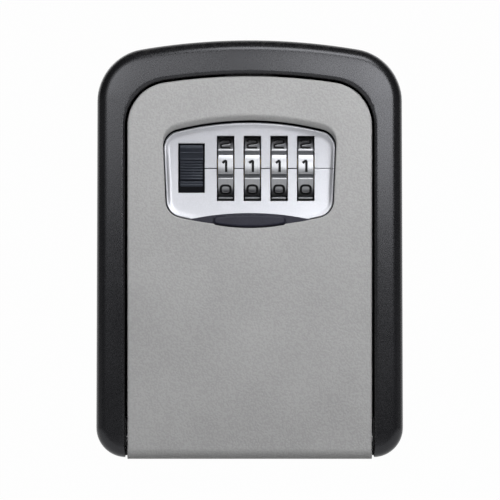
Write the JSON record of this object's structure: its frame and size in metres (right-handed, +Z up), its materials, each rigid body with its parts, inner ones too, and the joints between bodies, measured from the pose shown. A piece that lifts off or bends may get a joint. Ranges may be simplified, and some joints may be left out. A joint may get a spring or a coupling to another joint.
{
  "type": "key lock box",
  "caption": "Wall-mounted key safe: black moulded surround, grey drop-down door with number dials, a ribbed thumb release and a sliding shutter, and a shallow key space behind.",
  "frame": {"origin": "centre of the flat back face, which lies against the wall", "axes": "+Z up the wall, +Y into the wall and -Y out of the front of the door, +X to the right as seen from the front"},
  "size_m": [0.088, 0.04, 0.12],
  "materials": {
    "case_paint": "black powder coat",
    "surround_plastic": "satin black moulding",
    "door_paint": "fine textured grey paint",
    "silver_fascia": "satin silver paint",
    "inner_plastic": "matt black moulding",
    "cover_paint": "black paint",
    "dial_chrome": "satin chrome",
    "sleeve_brass": "turned brass",
    "steel": "zinc-plated steel",
    "shutter_plastic": "satin dark grey moulding"
  },
  "bodies": {
    "case": {"rear_case": "case_paint", "outer_surround": "surround_plastic", "hinge_pin": "steel"},
    "door": {"door_panel": "door_paint", "bezel": "silver_fascia", "lock_housing": "inner_plastic", "lock_cover": "cover_paint", "detent_spring": "steel", "latch_spring": "steel", "housing_screw_1": "steel", "housing_screw_2": "steel", "housing_screw_3": "steel", "housing_screw_4": "steel", "cover_screw_1": "steel", "cover_screw_2": "steel", "cover_screw_3": "steel", "cover_screw_4": "steel"},
    "latch": {"release_slider": "surround_plastic", "latch_bolt": "steel", "code_fence": "steel", "slider_screw": "steel", "fence_rivet_1": "steel", "fence_rivet_2": "steel"},
    "shutter": {"shutter": "shutter_plastic"},
    "reset": {"reset_lever": "inner_plastic", "dial_shaft": "steel", "shaft_clip": "steel"},
    "dial_1": {"dial_1": "dial_chrome", "code_sleeve_1": "sleeve_brass"},
    "dial_2": {"dial_2": "dial_chrome", "code_sleeve_2": "sleeve_brass"},
    "dial_3": {"dial_3": "dial_chrome", "code_sleeve_3": "sleeve_brass"},
    "dial_4": {"dial_4": "dial_chrome", "code_sleeve_4": "sleeve_brass"}
  },
  "joints": [
    {"name": "door_hinge", "type": "hinge", "parent": "case", "child": "door", "pos_m": [0, -0.033, -0.054], "axis": [1, 0, 0], "range_deg": [0, 105]},
    {"name": "latch_slide", "type": "slide", "parent": "door", "child": "latch", "axis": [0, 0, -1], "range_m": [0, 0.003], "stiffness_N_per_m": 300, "springref_m": -0.003, "deforming": ["latch_spring"]},
    {"name": "shutter_slide", "type": "slide", "parent": "door", "child": "shutter", "axis": [0, 0, 1], "range_m": [0, 0.026]},
    {"name": "reset_slide", "type": "slide", "parent": "door", "child": "reset", "axis": [1, 0, 0], "range_m": [0, 0.002]},
    {"name": "dial_1_spin", "type": "hinge", "parent": "door", "child": "dial_1", "pos_m": [-0.0069, -0.0248, 0.0233], "axis": [1, 0, 0], "continuous": true},
    {"name": "dial_2_spin", "type": "hinge", "parent": "door", "child": "dial_2", "pos_m": [0.00077, -0.0248, 0.0233], "axis": [1, 0, 0], "continuous": true},
    {"name": "dial_3_spin", "type": "hinge", "parent": "door", "child": "dial_3", "pos_m": [0.00844, -0.0248, 0.0233], "axis": [1, 0, 0], "continuous": true},
    {"name": "dial_4_spin", "type": "hinge", "parent": "door", "child": "dial_4", "pos_m": [0.01611, -0.0248, 0.0233], "axis": [1, 0, 0], "continuous": true}
  ]
}
